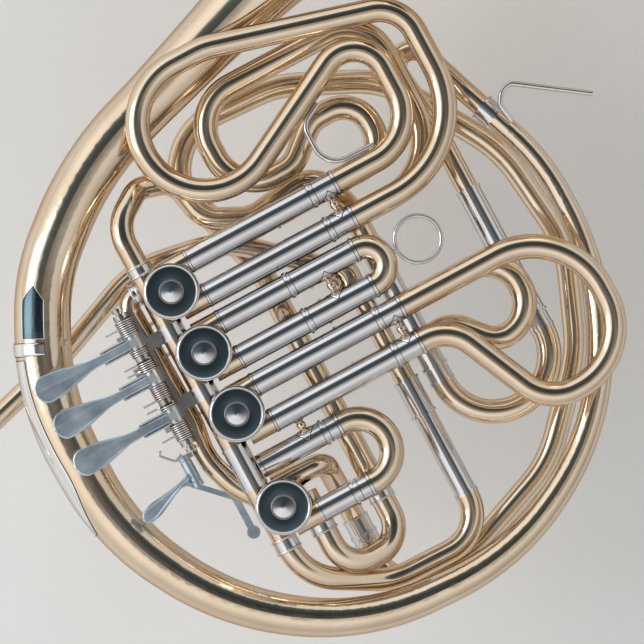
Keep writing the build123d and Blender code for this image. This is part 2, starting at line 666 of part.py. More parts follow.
def make_hinge():
    """Fixed rod with its posts, the rail under them and the rail's feet at the valve links."""
    with BuildPart() as rod:
        add_straight((HINGE_X, 43, HINGE_Z), (HINGE_X, -43, HINGE_Z), HINGE_R, 0)
        for y0, y1 in POSTS:
            add_straight((HINGE_X, y0, HINGE_Z), (HINGE_X, y1, HINGE_Z), 4.2, 0)
            with BuildSketch(Plane.XY.offset(RAIL_Z)):
                with Locations((HINGE_X + 3, (y0 + y1) / 2)):
                    Rectangle(3, y1 - y0)
            extrude(amount=HINGE_Z - 1 - RAIL_Z)
        for y in (43, -43):
            add_straight((HINGE_X, y - 1, HINGE_Z), (HINGE_X, y + 1, HINGE_Z), 3.2, 0)
        with BuildSketch(Plane.XY.offset(RAIL_Z)):
            with Locations((-27.5, 0)):
                Rectangle(5, 81)
            for y in FEET_Y:
                with Locations((-21.5, y)):
                    Rectangle(10, 8)
        extrude(amount=1.8)
    save(rod, "lever_hinge")


def make_springs():
    """Return springs on the hinge, each with a wire end that bears on its lever."""
    with BuildPart() as springs:
        for y0, y1 in SPRINGS_Y:
            turns = int((y1 - y0) / 1.2)
            for i in range(turns):
                y = y0 + 0.6 + i * 1.2
                add_straight((HINGE_X, y - 0.5, HINGE_Z), (HINGE_X, y + 0.5, HINGE_Z), 4.0, 2.3)
            add_straight((HINGE_X, y0 + 0.4, HINGE_Z), (HINGE_X, y1 - 0.6, HINGE_Z), 3.2, 2.3)
            wire_y = (y0 + y1) / 2 if abs(y0 + y1) > 40 else (11.2 if y0 > 0 else -11.2)
            add_straight((HINGE_X - 3.0, wire_y, HINGE_Z + 1.5), (-44.0, wire_y, HINGE_Z + 1.5), 0.6, 0)
        with BuildLine() as path:
            FilletPolyline((-37.8, -43.4, 4.6), (-42.5, -45.6, 5.6), (-49.5, -38.0, 5.6), (-46.8, -36.4, 5.6),
                           radius=[2, 1.4])
        with BuildSketch(Plane(origin=path.line @ 0, z_dir=path.line % 0)):
            Circle(0.8)
        sweep(path=path.line)
    save(springs, "lever_springs")


ARM_LOW = -36.0         # underside of the string arms
ARM_TIP = -1.5
ARM_W = 2.0
CHANNEL_MID = -42.6     # middle and length of a finger lever's channel, along X
CHANNEL_LEN = 16.8


def make_lever(name, y, sleeve, arm_y):
    """Finger lever: spoon pad, channel arm, hinge sleeve and the string arm behind the valves."""
    with BuildPart() as lever:
        add_straight((HINGE_X, sleeve[0], HINGE_Z), (HINGE_X, sleeve[1], HINGE_Z), 4.3, HINGE_R + 0.05)
        with BuildSketch(Plane.XY.offset(HINGE_Z + 4.2)):
            with BuildLine():
                Spline((-50, y + 2.1), (-62, y + 3.6), (-80, y + 7.3), (-89.5, y + 5.2), (-92.3, y),
                       (-89.5, y - 5.2), (-80, y - 7.3), (-62, y - 3.6), (-50, y - 2.1))
                Line((-50, y - 2.1), (-50, y + 2.1))
            make_face()
        extrude(amount=1.8)
        with BuildSketch(Plane.XY.offset(HINGE_Z + 4.2)):
            with Locations(((-51 + HINGE_X + 2) / 2, y)):
                Rectangle(abs(-51 - HINGE_X - 2), 4.2)
        extrude(amount=1.8)
        for side in (-1, 1):
            with BuildSketch(Plane.XY.offset(HINGE_Z + 0.4)):
                with Locations((CHANNEL_MID, y + side * 3.7)):
                    Rectangle(CHANNEL_LEN, 1.0)
            extrude(amount=4.6)
        with BuildSketch(Plane.XY.offset(HINGE_Z + 0.4)):
            with Locations((CHANNEL_MID, y)):
                Rectangle(CHANNEL_LEN, 7.6)
        extrude(amount=1.2)
        with BuildSketch(Plane.XY.offset(HINGE_Z + 0.4)):
            with Locations((-50.0, y)):
                Rectangle(2.0, 7.6)
        extrude(amount=3.9)
        bridge_y = (min(sleeve) + max(sleeve)) / 2
        bridge_z = HINGE_Z - 3.8
        with BuildSketch(Plane.XZ.offset(-arm_y - ARM_W / 2)):
            with BuildLine():
                Polyline((-39.5, bridge_z + 2), (-36.5, bridge_z + 2), (-36.5, ARM_LOW + 3), (ARM_TIP, ARM_LOW + 3),
                         (ARM_TIP, ARM_LOW), (-39.5, ARM_LOW), (-39.5, bridge_z + 2))
            make_face()
        extrude(amount=ARM_W)
        with BuildSketch(Plane.XY.offset(bridge_z)):
            with Locations((-38, (bridge_y + arm_y) / 2)):
                Rectangle(3, abs(bridge_y - arm_y) + ARM_W)
            with Locations((-36, bridge_y)):
                Rectangle(7, 3)
        extrude(amount=2.0)
        with BuildSketch(Plane(origin=(HINGE_X, min(sleeve) - 1, HINGE_Z), z_dir=(0, 1, 0))):
            Circle(HINGE_R + 0.05)
        extrude(amount=max(sleeve) - min(sleeve) + 2, mode=Mode.SUBTRACT)
    save(lever, name)


THUMB_X = -37.8
THUMB_Z = 0.0
THUMB_LOW = -24.0       # underside of the thumb lever's arm


def make_thumb():
    """Thumb lever of the change valve with its hinge bracket, spring and link bar."""
    with BuildPart() as bracket:
        add_straight((THUMB_X, -44.5, THUMB_Z), (THUMB_X, -63.5, THUMB_Z), 1.5, 0)
        for y0, y1 in ((-47.5, -44.5), (-63.5, -60.5)):
            add_straight((THUMB_X, y0, THUMB_Z), (THUMB_X, y1, THUMB_Z), 3.4, 0)
        with BuildSketch(Plane.XY.offset(THUMB_Z - 5.4)):
            with Locations((THUMB_X, -54)):
                Rectangle(5, 19)
        extrude(amount=2.0)
        for y in (-46, -62):
            with BuildSketch(Plane.XY.offset(THUMB_Z - 5)):
                with Locations((THUMB_X, y)):
                    Rectangle(3, 3)
            extrude(amount=3)
        with BuildSketch(Plane.XY.offset(THUMB_Z - 5.4)):
            with Locations((-34.8, -46)):
                Rectangle(4, 3)
        extrude(amount=2.0)
    save(bracket, "thumb_bracket")

    with BuildPart() as lever:
        add_straight((THUMB_X, -60.0, THUMB_Z), (THUMB_X, -48.0, THUMB_Z), 3.3, 1.55)
        with BuildSketch(Plane(origin=(-46, -58.0, THUMB_Z + 2), x_dir=(-0.957, -0.29, 0), z_dir=(0, 0, 1))):
            with BuildLine():
                Spline((-6.5, 1.6), (4, 1.9), (14, 3.4), (24, 3.6), (28.5, 0), (24, -3.6), (14, -3.4), (4, -1.9),
                       (-6.5, -1.6))
                Line((-6.5, -1.6), (-6.5, 1.6))
            make_face()
        extrude(amount=1.8)
        with BuildSketch(Plane.XZ.offset(58.0)):
            with BuildLine():
                Polyline((-45.8, THUMB_Z + 3.8), (-42.8, THUMB_Z + 3.8), (-42.8, THUMB_LOW), (-45.8, THUMB_LOW),
                         (-45.8, THUMB_Z + 3.8))
            make_face()
        extrude(amount=ARM_W)
        with BuildSketch(Plane(origin=(-44.3, -59.0, THUMB_LOW), x_dir=(0.707, -0.707, 0), z_dir=(0, 0, 1))):
            with Locations((13.5, 0)):
                Rectangle(30, 3)
        extrude(amount=2.5)
        with BuildSketch(Plane.XY.offset(THUMB_LOW)):
            with Locations((-24, -90)):
                Rectangle(4.0, 24)
            with Locations((-24, -101)):
                Circle(3.7)
        extrude(amount=2.5)
        with BuildSketch(Plane(origin=(THUMB_X, -48, THUMB_Z), z_dir=(0, -1, 0))):
            Circle(1.55)
        extrude(amount=12, mode=Mode.SUBTRACT)
    save(lever, "thumb_lever")


def make_hook():
    """Little finger hook on the bell tail."""
    with BuildPart() as hook:
        with BuildLine() as path:
            FilletPolyline((210.5, 33, Z_TAIL + 7.8), (208.5, 44, Z_TAIL + 10), (216, 54, Z_TAIL + 10),
                           (257, 25, Z_TAIL + 10), radius=[5, 7])
        with BuildSketch(Plane(origin=path.line @ 0, z_dir=path.line % 0)):
            Circle(1.5)
        sweep(path=path.line)
    save(hook, "finger_hook")


make_valves()
make_links()
make_front_slides()
make_rear_slides()
make_tuning_slide()
make_change_slide()
make_tuning_inlet()
make_first_branch()
make_long_tube()
make_long_leg()
make_side_tube()
make_leadpipe()
make_mouthpiece()
make_bell()
make_hinge()
make_springs()
for number, (lever_y, lever_sleeve) in enumerate(zip(LEVER_Y, SLEEVES_Y), start=1):
    make_lever(f"finger_lever_{number}", lever_y, lever_sleeve, STRING_Y[number - 1])
make_thumb()
make_hook()
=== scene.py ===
"""Looks of a double horn: metals, small fittings, lever pads, light, floor and camera.

Sizes and places are in millimetres in the model's own frame and are turned into metres by mm().
"""
import json
import math

import bmesh
import bpy
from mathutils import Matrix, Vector
from mathutils.bvhtree import BVHTree


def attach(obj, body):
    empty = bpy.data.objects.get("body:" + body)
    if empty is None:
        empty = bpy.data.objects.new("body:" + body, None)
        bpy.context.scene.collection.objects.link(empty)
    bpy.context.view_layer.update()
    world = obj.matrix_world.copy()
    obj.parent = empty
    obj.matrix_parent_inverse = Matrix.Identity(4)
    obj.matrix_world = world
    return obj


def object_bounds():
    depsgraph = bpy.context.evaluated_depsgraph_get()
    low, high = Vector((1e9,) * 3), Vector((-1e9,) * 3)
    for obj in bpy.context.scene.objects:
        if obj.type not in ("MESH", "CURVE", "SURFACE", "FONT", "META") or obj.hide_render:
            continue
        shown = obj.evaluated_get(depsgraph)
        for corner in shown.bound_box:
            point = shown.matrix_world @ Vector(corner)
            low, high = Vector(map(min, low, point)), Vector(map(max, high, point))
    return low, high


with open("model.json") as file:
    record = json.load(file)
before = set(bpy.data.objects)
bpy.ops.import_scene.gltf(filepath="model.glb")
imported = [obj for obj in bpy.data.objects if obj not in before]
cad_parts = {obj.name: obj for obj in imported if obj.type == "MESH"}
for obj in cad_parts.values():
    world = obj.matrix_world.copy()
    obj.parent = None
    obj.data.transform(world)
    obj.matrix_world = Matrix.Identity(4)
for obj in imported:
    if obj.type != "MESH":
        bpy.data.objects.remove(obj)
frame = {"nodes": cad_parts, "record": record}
cad_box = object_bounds()

# ---------------------------------------------------------------- places of the CAD tubing, mm
TUBE_R = 6.8
Z_FRONT = 9.0
Z_REAR = -10.0
Z_CHANGE = 3.0
Z_DEEP = -45.0
Z_TAIL = -17.0
LINK_X = -10.5
HINGE_X = -31.5
HINGE_Z = 8.0
LEVER_Y = (23.0, 0.9, -22.3)
PAD_LOW = HINGE_Z + 4.2
PAD_TOP = HINGE_Z + 6.0
SLIDE_1 = (48.7, 27.3)
SLIDE_2 = (10.7, -11.3)
SLIDE_3 = (-28.7, -50.7)
CHANGE_YS = (-70.0, -107.0)
VALVES = ((0.0, 38.0), (0.0, 0.0), (0.0, -38.0), (-1.5, -95.0))
SLEEVE_START = 15.5
SLEEVE_END = 93.0
FERRULE_END = 108.0
SHORT_SLEEVE_END = 59.0
SHORT_FERRULE_END = 100.0
BEAD_W = 1.6
CAP_FIELD = 19.7        # height of the flat field of the valve caps
CHANNEL_TOP = 13.0      # top of the finger levers' channel walls
CHANNEL_SIDE = 3.75     # middle of those walls from the lever's own middle
COIL_R = 4.85           # middle radius of the hinge springs
SEAM_R = 0.2            # radius of the fine dark lines round applied plates
SUNK = -0.15            # how far an applied plate reaches into the metal below it
RAY_FAR = 60            # distance outside the tail that rays towards its surface start from
TAIL_R = 14.0           # the tail's radius where a ray finds no surface
GUARD_LINE_R = 0.22     # radius of the line round the hand guard's plates
# The bell tail's centre line on its left side, with one point more at each end.
TAIL_LEFT = ((-74.8, -95.7), (-89.2, -58.4), (-91.4, -18.1), (-86.7, 22.8), (-70.5, 61.0), (-56.4, 82.3),
             (-37.5, 99.5))


def mm(*values):
    """A point given in millimetres, in metres."""
    return Vector(values) * 0.001


# ---------------------------------------------------------------- materials
def node_material(name):
    """New material with its tree, its shader and the object coordinates."""
    material = bpy.data.materials.new(name)
    material.use_nodes = True
    tree = material.node_tree
    shader = tree.nodes["Principled BSDF"]
    place = tree.nodes.new("ShaderNodeTexCoord").outputs["Object"]
    return material, tree, shader, place


def noise(tree, place, scale, detail=4.0, stretch=(1, 1, 1)):
    """Value of a noise texture, stretched along an axis where stretch is small."""
    mapping = tree.nodes.new("ShaderNodeMapping")
    mapping.inputs["Scale"].default_value = stretch
    tree.links.new(place, mapping.inputs["Vector"])
    texture = tree.nodes.new("ShaderNodeTexNoise")
    texture.inputs["Scale"].default_value = scale
    texture.inputs["Detail"].default_value = detail
    tree.links.new(mapping.outputs["Vector"], texture.inputs["Vector"])
    return texture.outputs["Fac"]


def spread(tree, value, low, high, start=0.3, end=0.7):
    """The value's middle range stretched to low..high."""
    node = tree.nodes.new("ShaderNodeMapRange")
    node.inputs["From Min"].default_value = start
    node.inputs["From Max"].default_value = end
    node.inputs["To Min"].default_value = low
    node.inputs["To Max"].default_value = high
    tree.links.new(value, node.inputs["Value"])
    return node.outputs["Result"]


def ramp_colour(tree, value, stops):
    """Colour read from (place, colour) stops by the value."""
    ramp = tree.nodes.new("ShaderNodeValToRGB")
    elements = ramp.color_ramp.elements
    while len(elements) < len(stops):
        elements.new(0.5)
    for element, (place, colour) in zip(elements, stops):
        element.position = place
        element.color = (*colour, 1)
    tree.links.new(value, ramp.inputs["Fac"])
    return ramp.outputs["Color"]


def blend_colour(tree, value, first, second):
    """Colour between two, by the value's middle range."""
    return ramp_colour(tree, value, ((0.32, first), (0.68, second)))


def add_bump(tree, shader, height, strength, distance):
    """Bump the shader's normal by a height value."""
    bump = tree.nodes.new("ShaderNodeBump")
    bump.inputs["Strength"].default_value = strength
    bump.inputs["Distance"].default_value = distance
    tree.links.new(height, bump.inputs["Height"])
    tree.links.new(bump.outputs["Normal"], shader.inputs["Normal"])


def metal(name, light, dark, edge, rough, wear=0.05, coat=0.0):
    """Polished metal: slow colour change, patchy gloss, fine wiping marks and a darker grazing edge."""
    material, tree, shader, place = node_material(name)
    shader.inputs["Metallic"].default_value = 1.0
    shader.inputs["Specular Tint"].default_value = (*edge, 1)
    shader.inputs["Coat Weight"].default_value = coat
    shader.inputs["Coat Roughness"].default_value = 0.06
    tone = noise(tree, place, 28, 5)
    tree.links.new(blend_colour(tree, tone, dark, light), shader.inputs["Base Color"])
    gloss = noise(tree, place, 90, 6)
    tree.links.new(spread(tree, gloss, rough, rough + wear), shader.inputs["Roughness"])
    marks = noise(tree, place, 900, 3, (0.15, 1, 1))
    add_bump(tree, shader, marks, 0.05, 0.0002)
    return material


GRAIN_SHARE = 0.14     # of a brushed metal's tone that its fine grain makes; clouds make the rest


def brushed(name, light, dark, rough):
    """Brushed steel with its grain along X and a slow cloudy tone."""
    material, tree, shader, place = node_material(name)
    shader.inputs["Metallic"].default_value = 1.0
    shader.inputs["Specular Tint"].default_value = (0.75, 0.78, 0.82, 1)
    grain = noise(tree, place, 1500, 4, (0.03, 1, 1))
    cloud = noise(tree, place, 70, 5)
    mix = tree.nodes.new("ShaderNodeMath")
    mix.operation = "MULTIPLY_ADD"
    mix.inputs[1].default_value = GRAIN_SHARE
    tree.links.new(grain, mix.inputs[0])
    share = tree.nodes.new("ShaderNodeMath")
    share.operation = "MULTIPLY"
    share.inputs[1].default_value = 1 - GRAIN_SHARE
    tree.links.new(cloud, share.inputs[0])
    tree.links.new(share.outputs["Value"], mix.inputs[2])
    tree.links.new(blend_colour(tree, mix.outputs["Value"], dark, light), shader.inputs["Base Color"])
    tree.links.new(spread(tree, grain, rough - 0.04, rough + 0.06), shader.inputs["Roughness"])
    add_bump(tree, shader, grain, 0.06, 0.0002)
    return material


def cork_material():
    """Black synthetic stop cork with a fine grain."""
    material, tree, shader, place = node_material("stop_cork")
    grain = noise(tree, place, 1200, 6)
    tree.links.new(blend_colour(tree, grain, (0.02, 0.018, 0.016), (0.07, 0.06, 0.055)),
                   shader.inputs["Base Color"])
    shader.inputs["Roughness"].default_value = 0.8
    add_bump(tree, shader, grain, 0.5, 0.0004)
    return material


def floor_material():
    """Pale matt studio floor with a very faint mottle."""
    material, tree, shader, place = node_material("studio_floor")
    mottle = noise(tree, place, 3, 4)
    tree.links.new(blend_colour(tree, mottle, (0.93, 0.93, 0.925), (0.96, 0.96, 0.955)),
                   shader.inputs["Base Color"])
    shader.inputs["Roughness"].default_value = 0.75
    return material


BRASS = metal("lacquered_brass", (0.83, 0.70, 0.54), (0.76, 0.61, 0.44), (0.60, 0.43, 0.30), 0.09,
              coat=0.3)
NICKEL = metal("nickel_silver", (0.785, 0.785, 0.80), (0.715, 0.71, 0.72), (0.5, 0.48, 0.46), 0.09, 0.05)
SILVER = metal("silver_plate", (0.92, 0.91, 0.89), (0.85, 0.84, 0.82), (0.6, 0.58, 0.55), 0.08, 0.05)
WIRE = metal("spring_wire", (0.84, 0.82, 0.80), (0.72, 0.70, 0.68), (0.4, 0.4, 0.42), 0.16)
# Painted reflection: the polished cap field is coloured dark teal-navy in place of reflecting dark
# surroundings.
CAP_PAINTED_REFLECTION = metal("cap_field", (0.155, 0.225, 0.260), (0.125, 0.185, 0.215), (0.2, 0.25, 0.3), 0.12, 0.05)
# Dark material for the solder lines at joints, also used for the painted shade band under the hinge coils.
SEAM_AND_SHADE = metal("solder_seam_and_shade", (0.10, 0.075, 0.055), (0.05, 0.038, 0.03), (0.1, 0.08, 0.06), 0.45)
STEEL = brushed("brushed_steel", (0.88, 0.90, 0.92), (0.74, 0.76, 0.78), 0.36)
PAD = brushed("pad_steel", (0.72, 0.84, 0.94), (0.33, 0.42, 0.50), 0.36)
PLATE = metal("blued_plate", (0.080, 0.120, 0.140), (0.055, 0.085, 0.105), (0.1, 0.15, 0.2), 0.16, 0.06)
HINGE = metal("hinge_nickel", (0.66, 0.65, 0.64), (0.44, 0.43, 0.42), (0.4, 0.4, 0.4), 0.16, 0.10)
CORK = cork_material()

# Materials of CAD nodes, by node name where the slot's own finish isn't enough, and by slot.
BY_NODE = {"lever_hinge": HINGE, "thumb_bracket": PAD, "thumb_lever": PAD}
BY_SLOT = {"brass": BRASS, "nickel": NICKEL, "silver_plate": SILVER, "lever_steel": STEEL,
           "spring_steel": WIRE, "cap": NICKEL, "stop_cork": CORK}


def dress_cad_nodes():
    """Give every CAD node its material."""
    slot_of = {row["node"]: row["material_slot"] for row in frame["record"]["subparts"]}
    for node, piece in frame["nodes"].items():
        material = BY_NODE.get(node) or BY_SLOT[slot_of[node]]
        if not piece.material_slots:
            piece.data.materials.append(material)
        for holder in piece.material_slots:
            holder.material = material


# ---------------------------------------------------------------- piece helpers
def link(name, mesh, material, body):
    """Put a new mesh in the scene as a piece that rides on a body."""
    piece = bpy.data.objects.new(name, mesh)
    bpy.context.scene.collection.objects.link(piece)
    mesh.materials.append(material)
    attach(piece, body)
    return piece


def smooth(mesh, angle=40):
    """Smooth shading with crisp edges above an angle."""
    for face in mesh.polygons:
        face.use_smooth = True
    mesh.set_sharp_from_angle(angle=math.radians(angle))


def turned(name, spots, profile, material, body="horn", steps=48):
    """Turned pieces in one mesh: a closed profile of (radius, along) in mm at each (place, axis)."""
    bm = bmesh.new()
    count = len(profile)
    for at, axis in spots:
        turn = Vector(axis).normalized().to_track_quat("Z", "Y").to_matrix()
        rings = []
        for i in range(steps):
            angle = 2 * math.pi * i / steps
            ring = []
            for radius, height in profile:
                local = Vector((radius * math.cos(angle), radius * math.sin(angle), height))
                ring.append(bm.verts.new((Vector(at) + turn @ local) * 0.001))
            rings.append(ring)
        for a, b in zip(rings, rings[1:] + rings[:1]):
            for j in range(count):
                k = (j + 1) % count
                bm.faces.new((a[j], b[j], b[k], a[k]))
    return finish(name, bm, material, body, 40)


def finish(name, bm, material, body, angle):
    """Turn a closed bmesh into a linked piece with smooth shading."""
    bmesh.ops.recalc_face_normals(bm, faces=bm.faces)
    mesh = bpy.data.meshes.new(name)
    bm.to_mesh(mesh)
    bm.free()
    smooth(mesh, angle)
    return link(name, mesh, material, body)


def band_profile(inner, outer, length, bead=0.6, bead_w=1.4):
    """Profile of a ferrule: a plain band with a half-round bead at each end."""
    def bead_arc(centre):
        half = bead_w / 2
        return [(outer + bead * math.sin(math.pi * k / 6), centre - half * math.cos(math.pi * k / 6))
                for k in range(7)]

    return [(inner, 0)] + bead_arc(bead_w / 2) + bead_arc(length - bead_w / 2) + [(inner, length)]


def rod(name, points, radius, material, body="horn", corner=4.0, rounds=6):
    """Round rod or wire through points, with rounded corners; corner 0 keeps the points as they are."""
    curve = bpy.data.curves.new(name, "CURVE")
    curve.dimensions = "3D"
    curve.bevel_depth = radius * 0.001
    curve.bevel_resolution = rounds
    curve.use_fill_caps = True
    route = rounded(points, corner) if corner else [Vector(p) for p in points]
    spline = curve.splines.new("POLY")
    spline.points.add(len(route) - 1)
    for point, place in zip(spline.points, route):
        point.co = (*(place * 0.001), 1)
    holder = bpy.data.objects.new(name, curve)
    bpy.context.scene.collection.objects.link(holder)
    bpy.context.view_layer.update()
    swept = holder.evaluated_get(bpy.context.evaluated_depsgraph_get())
    mesh = bpy.data.meshes.new_from_object(swept)
    bpy.data.objects.remove(holder)
    mesh.name = name
    smooth(mesh, 60)
    return link(name, mesh, material, body)


def rounded(points, corner):
    """Points with each corner replaced by a short arc."""
    places = [Vector(p) for p in points]
    route = [places[0]]
    for before, here, after in zip(places, places[1:], places[2:]):
        reach = min(corner, (before - here).length / 2, (after - here).length / 2)
        start = here + (before - here).normalized() * reach
        end = here + (after - here).normalized() * reach
        for k in range(9):
            t = k / 8
            route.append(start * (1 - t) ** 2 + here * 2 * t * (1 - t) + end * t ** 2)
    route.append(places[-1])
    return route


# ---------------------------------------------------------------- lever pads
PAD_LENGTH = 41.9


def pad_half_width(x):
    """Half width of a finger pad at a distance x from its narrow end, in mm; the stem is x < 0."""
    t = max(0.0, min(x / 41.5, 1.0))
    body = 2.0 + 5.6 * math.sin(t * math.pi * 0.5) ** 2.2
    tip = math.sqrt(max(0.0, 1 - max(0.0, (t - 0.80) / 0.20) ** 2.3))
    return body * tip + 0.25


def spoon(name, body, origin, direction, stem, scale, top, low, dish):
    """Lever spoon with its stem: rounded rim and a slightly hollow top, over the plain CAD plate."""
    along = Vector((*direction, 0)).normalized()
    side = Vector((-along.y, along.x, 0))
    stations = 48
    ring = [(-stem * (1 - i / 8), pad_half_width(-1) * scale[1]) for i in range(8)] if stem else []
    for i in range(stations + 1):
        x = PAD_LENGTH * (1 - (1 - i / stations) ** 1.7)
        ring.append((x * scale[0], pad_half_width(x) * scale[1]))
    outline = ring + [(x, -w) for x, w in reversed(ring[:-1])]
    levels = [(0.0, low - 0.25), (0.30, low), (0.30, top - 0.1), (0.12, top + 0.2), (-0.25, top + 0.38),
              (-0.7, top + 0.34), (-1.15, top + 0.34 - dish * 0.5)]
    bm = bmesh.new()
    loops = []
    for grow, height in levels:
        loop = []
        for x, w in outline:
            wide = math.copysign(max(abs(w) + grow, 0.04), w if w else 1.0)
            far = x + grow * (max(0.0, x) / PAD_LENGTH) ** 3
            place = Vector(origin) + along * far + side * wide
            loop.append(bm.verts.new((place.x * 0.001, place.y * 0.001, height * 0.001)))
        loops.append(loop)
    count = len(outline)
    for a, b in zip(loops, loops[1:]):
        for i in range(count):
            j = (i + 1) % count
            bm.faces.new((a[i], a[j], b[j], b[i]))
    crown = []
    for i in range(len(ring) - 1):
        middle = (loops[-1][i].co + loops[-1][count - 1 - i].co) / 2
        crown.append(bm.verts.new(middle - mm(0, 0, dish / 2)))
    for i in range(len(ring) - 2):
        left, right = loops[-1][i], loops[-1][i + 1]
        far_left, far_right = loops[-1][count - 1 - i], loops[-1][count - 2 - i]
        bm.faces.new((left, right, crown[i + 1], crown[i]))
        bm.faces.new((crown[i], crown[i + 1], far_right, far_left))
        bm.faces.new((loops[0][i], loops[0][count - 1 - i], loops[0][count - 2 - i], loops[0][i + 1]))
    last = len(ring) - 2
    bm.faces.new((loops[-1][last], loops[-1][last + 1], loops[-1][last + 2], crown[last]))
    bm.faces.new((loops[0][last], loops[0][last + 2], loops[0][last + 1]))
    bm.faces.new((loops[-1][0], crown[0], loops[-1][count - 1]))
    return finish(name, bm, PAD, body, 50)


def make_levers():
    """Spoons of the three finger levers and of the thumb lever."""
    for number, y in enumerate(LEVER_Y, start=1):
        body = f"finger_lever_{number}"
        spoon(f"finger_pad_{number}", body, (-50.5, y, 0), (-1, 0), 16.3, (1.0, 1.0), PAD_TOP, PAD_LOW, 0.0)
        for side, name in ((CHANNEL_SIDE, "high"), (-CHANNEL_SIDE, "low")):
            edge = [(-36.5, y + side, CHANNEL_TOP), (-50.9, y + side, CHANNEL_TOP)]
            rod(f"channel_edge_{name}_{number}", edge, 0.5, SILVER, body, 0, 3)
    spoon("thumb_pad", "thumb_lever", (-41.0, -56.5, 0), (-0.957, -0.29), 0, (0.81, 0.50), 3.8, 2.0, 0.7)


# ---------------------------------------------------------------- springs
COILS = ((27.5, 36.8), (15.3, 18.5), (5.4, 11.6), (-11.6, -3.6), (-18.0, -15.4), (-36.8, -26.8))


def coil_route(start, end, pitch=1.2, steps=20):
    """Helix round the lever hinge, between two places along it."""
    total = int((end - start) / pitch * steps)
    route = []
    for k in range(total + 1):
        angle = 2 * math.pi * k / steps
        route.append((HINGE_X + COIL_R * math.cos(angle), start + (end - start) * k / total,
                      HINGE_Z + COIL_R * math.sin(angle)))
    return route


def make_springs():
    """Coil springs round the hinge, a dark band of painted shade under them that darkens the gaps between
    their turns, and two more wire ends.
    """
    for number, (start, end) in enumerate(COILS, start=1):
        rod(f"lever_coil_{number}", coil_route(start, end), 0.42, WIRE, "horn", 0, 2)
        # Painted shade: a dark band round the hinge under each coil stands in for the shadow in the gaps
        # between its turns.
        turned(f"coil_gap_shade_{number}", [((HINGE_X, start - 0.3, HINGE_Z), (0, 1, 0))],
               band_profile(4.2, 4.55, end - start + 0.6, 0.0), SEAM_AND_SHADE, "horn")
    for number, y in enumerate((7.4, -15.2), start=1):
        wire = [(-35.6, y, HINGE_Z + 2.2), (-37.0, y, HINGE_Z + 1.5), (-44.0, y, HINGE_Z + 1.5)]
        rod(f"spring_wire_{number}", wire, 0.6, WIRE, "horn", 1.0)


# ---------------------------------------------------------------- fittings
def ball_post(length, foot=3.0, neck=1.25, ball=2.7):
    """Profile of a turned brace: a foot at each end and a ball in the middle."""
    half = length / 2
    profile = [(0.3, 0.0), (foot, 0.0), (foot, 0.35), (neck + 0.7, 0.8), (neck, 1.3)]
    for k in range(9):
        angle = math.pi * (0.15 + 0.7 * k / 8)
        profile.append((ball * math.sin(angle), half - ball * math.cos(angle)))
    profile += [(neck, length - 1.3), (neck + 0.7, length - 0.8), (foot, length - 0.35), (foot, length),
                (0.3, length)]
    return profile


def thin_plate(name, shells, material, body, angle, line_name, line_r, line_material):
    """Thin plate between two equal grids of points in mm, with a fine line round its outer face."""
    bm = bmesh.new()
    borders = []
    for shell in shells:
        rows = [[bm.verts.new(point * 0.001) for point in row] for row in shell]
        for a, b in zip(rows, rows[1:]):
            for j in range(len(a) - 1):
                bm.faces.new((a[j], b[j], b[j + 1], a[j + 1]))
        far_side = [row[-1] for row in rows[1:]]
        near_side = [row[0] for row in rows[-2:0:-1]]
        borders.append(rows[0] + far_side + rows[-1][-2::-1] + near_side)
    inner, outer = borders
    for k in range(len(inner)):
        n = (k + 1) % len(inner)
        bm.faces.new((inner[k], inner[n], outer[n], outer[k]))
    outline = [vert.co * 1000 for vert in outer + outer[:1]]
    rod(line_name, outline, line_r, line_material, body, 0, 2)
    return finish(name, bm, material, body, angle)


def saddle(name, at, facing, body, reach=5.6, arc=62.0, thick=0.35, grid=28):
    """Diamond flange bent over a tube along X; facing is the angle of its middle from +Y towards +Z."""
    shells = []
    for level in (SUNK, thick):
        shell = []
        for i in range(grid + 1):
            row = []
            for j in range(grid + 1):
                s = 2 * i / grid - 1
                t = 2 * j / grid - 1
                rim = min(1.0, 8 * min(1 - abs(s), 1 - abs(t)) + 0.45) if level > 0 else 1.0
                r = TUBE_R + level * rim
                angle = math.radians(facing + arc * (s - t) / 2)
                offset = Vector((reach * (s + t) / 2, r * math.cos(angle), r * math.sin(angle)))
                row.append(Vector(at) + offset)
            shell.append(row)
        shells.append(shell)
    return thin_plate(name, shells, NICKEL, body, 25, f"{name}_seam", SEAM_R, SEAM_AND_SHADE)


def make_braces():
    """Ball posts with diamond flanges between the legs of each slide."""
    braces = (("first", 101.5, SLIDE_1, "first_slide"), ("second", 79.0, SLIDE_2, "second_slide"),
              ("third", 101.5, SLIDE_3, "third_slide"))
    for name, x, (high, low), body in braces:
        spot = ((x, high - TUBE_R, Z_FRONT), (0, -1, 0))
        turned(f"{name}_brace", [spot], ball_post(high - low - 2 * TUBE_R), BRASS, body)
        saddle(f"{name}_flange_high", (x, high, Z_FRONT), 180 - 8, body)
        saddle(f"{name}_flange_low", (x, low, Z_FRONT), 8, body)
    upper = Vector((28.0, SLIDE_3[1], Z_FRONT))
    lower = Vector((28.0, CHANGE_YS[0], Z_CHANGE))
    along = lower - upper
    foot = 6.7      # where each end of this post meets its tube
    start = upper + along.normalized() * foot
    turned("change_brace", [(start, along)], ball_post(along.length - 2 * foot), BRASS, "horn")
    saddle("change_flange", lower, 28, "horn", 5.4)


